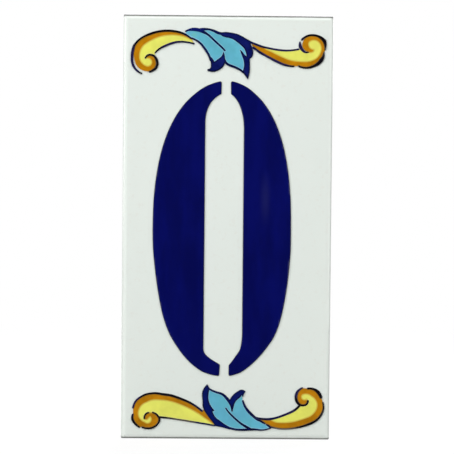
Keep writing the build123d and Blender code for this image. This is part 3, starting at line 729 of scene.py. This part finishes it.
def score(piece, pitch):
    """Cuts a piece along a square grid, so that colour and relief can change across it."""
    bpy.ops.mesh.select_mode(type="VERT")
    for axis in (0, 2):
        direction = [0.0, 0.0, 0.0]
        direction[axis] = 1.0
        net = bmesh.from_edit_mesh(piece.data)
        spans = [sorted(point.co[axis] for point in face.verts) for face in net.faces]
        spans = [(span[0], span[-1]) for span in spans if span[-1] - span[0] > pitch / 2]
        low, high = min(span[0] for span in spans), max(span[1] for span in spans)
        for step in range(1, int((high - low) / pitch) + 1):
            at = low + (step - CUT_BACK) * pitch
            if any(first < at < last for first, last in spans):
                cut = [0.0, 0.0, 0.0]
                cut[axis] = at
                bpy.ops.mesh.select_all(action="SELECT")
                bpy.ops.mesh.bisect(plane_co=cut, plane_no=direction)


def mark(piece, attribute, walls):
    """Writes how far each point of a piece is from some walls."""
    layer = piece.data.attributes.new(attribute, "FLOAT", "POINT")
    for point in piece.data.vertices:
        layer.data[point.index].value = walls.find_nearest(point.co)[3]


def swell(piece):
    """Lowers the front towards its edge, so that the middle stands full."""
    front = min(point.co.y for point in piece.data.vertices)
    edge = piece.data.attributes["to_edge"].data
    for point in piece.data.vertices:
        if point.co.y < front + SWELL_DEPTH:
            point.co.y += SWELL_DEPTH * math.exp(-edge[point.index].value / SWELL_REACH)


def finished(piece, node_name, finish):
    """Smooths the piece, gives it its finish, and lets it stand for its CAD node."""
    only(piece)
    bpy.ops.object.shade_smooth_by_angle(angle=SMOOTH_ANGLE)
    piece.data.materials.append(finish)
    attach(piece, "root")
    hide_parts(node_name)


class TILE_OT_body(bpy.types.Operator):
    """Gives the tile body its slip, glaze and biscuit"""

    bl_idname = "number_tile.body"
    bl_label = "Tile body"

    def execute(self, context):
        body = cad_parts["tile_body"]
        body.data.materials.clear()
        body.data.materials.append(fired_glaze())
        return {"FINISHED"}


class TILE_OT_figure(bpy.types.Operator):
    """Fires the dark blue figure"""

    bl_idname = "number_tile.figure"
    bl_label = "Figure"

    def execute(self, context):
        piece = fired_copy("figure_zero", "figure_enamel")
        for oval in PRESSED_FIGURE:
            press(piece, *oval)
        outline = own_walls(piece)
        soften_rim(piece)
        score(piece, FIGURE_PITCH)
        bpy.ops.object.mode_set(mode="OBJECT")
        mark(piece, "to_edge", outline)
        swell(piece)
        finished(piece, "figure_zero", figure_finish())
        return {"FINISHED"}


class TILE_OT_lines(bpy.types.Operator):
    """Fires the brush lines and the leaf shading"""

    bl_idname = "number_tile.lines"
    bl_label = "Brush lines"

    def execute(self, context):
        piece = fired_copy("brush_lines", "brushed_lines")
        spread(piece, LINE_RUN)
        for oval in PRESSED_LINES:
            press(piece, *oval)
        outline = own_walls(piece)
        soften_rim(piece)
        score(piece, LINE_PITCH)
        bpy.ops.object.mode_set(mode="OBJECT")
        mark(piece, "to_edge", outline)
        shift_ovals(piece)
        finished(piece, "brush_lines", line_finish())
        return {"FINISHED"}


class TILE_OT_fields(bpy.types.Operator):
    """Fires the ochre, yellow and turquoise fields"""

    bl_idname = "number_tile.fields"
    bl_label = "Colour fields"

    def execute(self, context):
        fields = (
            ("ochre_bands", "ochre_wash", "ochre_enamel", PRESSED_OCHRE, "yellow_fields", ochre_finish()),
            ("yellow_fields", "yellow_wash", "yellow_enamel", (), "ochre_bands", yellow_finish()),
            ("turquoise_leaves", "turquoise_wash", "turquoise_enamel", (), None, turquoise_finish()),
        )
        lines = walls_of(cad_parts["brush_lines"])
        for node_name, name, slot, pressed, neighbour, finish in fields:
            piece = fired_copy(node_name, name)
            for oval in pressed:
                press(piece, *oval)
            score(piece, FIELD_PITCH)
            bpy.ops.object.mode_set(mode="OBJECT")
            mark(piece, "to_line", lines)
            if neighbour:
                mark(piece, "to_colour", walls_of(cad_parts[neighbour]))
            shift_ovals(piece)
            finished(piece, node_name, finish)
        return {"FINISHED"}


def seen_white(tree):
    """1 for rays that show the background: camera, glossy and transmission rays."""
    path = join_node(tree, "ShaderNodeLightPath").outputs
    shown = reckoned(tree, "MAXIMUM", path["Is Camera Ray"], path["Is Glossy Ray"])
    return reckoned(tree, "MAXIMUM", shown, path["Is Transmission Ray"])


def floor_finish():
    """Pale matt floor that is seen as white, wholly so away from the tile, and keeps the tile's shadow."""
    made, tree, shader = new_finish("pale_floor")
    shader.inputs["Roughness"].default_value = FLOOR_ROUGHNESS
    shown = seen_white(tree)
    tree.links.new(blended(tree, shown, FLOOR_GREY, FLOOR_SEEN), shader.inputs["Base Color"])
    white = join_node(tree, "ShaderNodeEmission", {"Strength": 1.0})
    reach = join_node(tree, "ShaderNodeVectorMath", {0: place(tree)}, operation="LENGTH").outputs["Value"]
    far = stepped(tree, reach, FADE_FROM, FADE_TO)
    whitened = reckoned(tree, "MULTIPLY_ADD", far, 1.0 - NEAR_WHITE, NEAR_WHITE)
    share = reckoned(tree, "MULTIPLY", shown, whitened)
    mix = join_node(tree, "ShaderNodeMixShader", {0: share, 1: shader.outputs[0], 2: white.outputs[0]})
    tree.links.new(mix.outputs[0], tree.nodes["Material Output"].inputs["Surface"])
    return made


def cloth_finish():
    """Black matt cloth."""
    made, _, shader = new_finish("dark_cloth")
    shader.inputs["Base Color"].default_value = (*CLOTH_BLACK, 1.0)
    shader.inputs["Roughness"].default_value = 1.0
    return made


def studio_plane(name, size, at, turn=(0.0, 0.0, 0.0), narrowed=1.0):
    """A plane of the studio, with its place, turn and width applied to its mesh."""
    bpy.ops.object.select_all(action="DESELECT")
    bpy.ops.mesh.primitive_plane_add(size=size, location=at, rotation=turn)
    made = bpy.context.object
    made.name = name
    made.scale.x = narrowed
    only(made)
    bpy.ops.object.transform_apply(location=True, rotation=True, scale=True)
    return made


def light_room(ambient):
    """A room that lights the tile softly, and is seen as plain white."""
    world = bpy.data.worlds.new("white_room")
    bpy.context.scene.world = world
    world.use_nodes = True
    tree = world.node_tree
    shade = tree.nodes["Background"]
    shade.inputs["Color"].default_value = (*ROOM_WHITE, 1.0)
    strength = reckoned(tree, "MULTIPLY_ADD", seen_white(tree), 1.0 - ambient, ambient)
    tree.links.new(strength, shade.inputs["Strength"])


def softbox(name, at, width, height, power):
    """Sets an area lamp at a place, turned to the middle of the tile."""
    lamp = bpy.data.lights.new(name, "AREA")
    lamp.shape = "RECTANGLE"
    lamp.size, lamp.size_y = width, height
    lamp.energy = power
    made = bpy.data.objects.new(name, lamp)
    bpy.context.scene.collection.objects.link(made)
    made.location = at
    made.rotation_euler = made.location.to_track_quat("Z", "Y").to_euler()


def set_camera(look):
    """Sets the camera at the photograph's angle."""
    camera = bpy.data.cameras.new("tile_camera")
    camera.lens = look.lens
    camera.sensor_width = SENSOR_WIDTH
    camera.clip_start = NEAREST_SEEN
    made = bpy.data.objects.new("tile_camera", camera)
    bpy.context.scene.collection.objects.link(made)
    made.location = look.camera_place
    made.rotation_euler = look.camera_turn
    bpy.context.scene.camera = made


class TILE_OT_studio(bpy.types.Operator):
    """Sets the floor, the card, the room, the lamps and the camera"""

    bl_idname = "number_tile.studio"
    bl_label = "Studio"

    def execute(self, context):
        look = settings("tile_studio")
        context.scene.view_settings.view_transform = "Standard"

        floor = studio_plane("studio_floor", FLOOR_SIZE, (0.0, 0.0, TILE_BOX[0].z))
        floor.data.materials.append(floor_finish())
        floor.visible_glossy = False

        card = studio_plane("dark_card", CARD_SIZE, CARD_PLACE, CARD_TURN, CARD_NARROWED)
        card.data.materials.append(cloth_finish())
        card.visible_camera = False

        light_room(look.ambient)
        for name, at, width, height, power in LAMPS:
            softbox(name, at, width, height, getattr(look, power))
        set_camera(look)
        return {"FINISHED"}


class TILE_PT_panel(bpy.types.Panel):
    """Lists the settings, and the steps that dress the tile."""

    bl_idname = "TILE_PT_panel"
    bl_label = "Number tile"
    bl_space_type = "VIEW_3D"
    bl_region_type = "UI"
    bl_category = "Number tile"

    def draw(self, context):
        for group, title in (("tile_glaze", "Glaze"), ("tile_enamel", "Enamels"), ("tile_studio", "Studio")):
            box = self.layout.box()
            box.label(text=title)
            chosen = settings(group)
            for name in chosen.__annotations__:
                box.prop(chosen, name)
        for step in STEPS:
            self.layout.operator(step.bl_idname)


STEPS = (TILE_OT_body, TILE_OT_figure, TILE_OT_lines, TILE_OT_fields, TILE_OT_studio)
GROUPS = {"tile_glaze": GlazeSettings, "tile_enamel": EnamelSettings, "tile_studio": StudioSettings}


def register():
    for made in (*GROUPS.values(), *STEPS, TILE_PT_panel):
        bpy.utils.register_class(made)
    for name, group in GROUPS.items():
        setattr(bpy.types.Scene, name, bpy.props.PointerProperty(type=group))


def unregister():
    for name in GROUPS:
        delattr(bpy.types.Scene, name)
    for made in (TILE_PT_panel, *reversed(STEPS), *reversed(GROUPS.values())):
        bpy.utils.unregister_class(made)


def main():
    register()
    bpy.ops.number_tile.body()
    bpy.ops.number_tile.figure()
    bpy.ops.number_tile.lines()
    bpy.ops.number_tile.fields()
    bpy.ops.number_tile.studio()


if __name__ == "__main__":
    main()
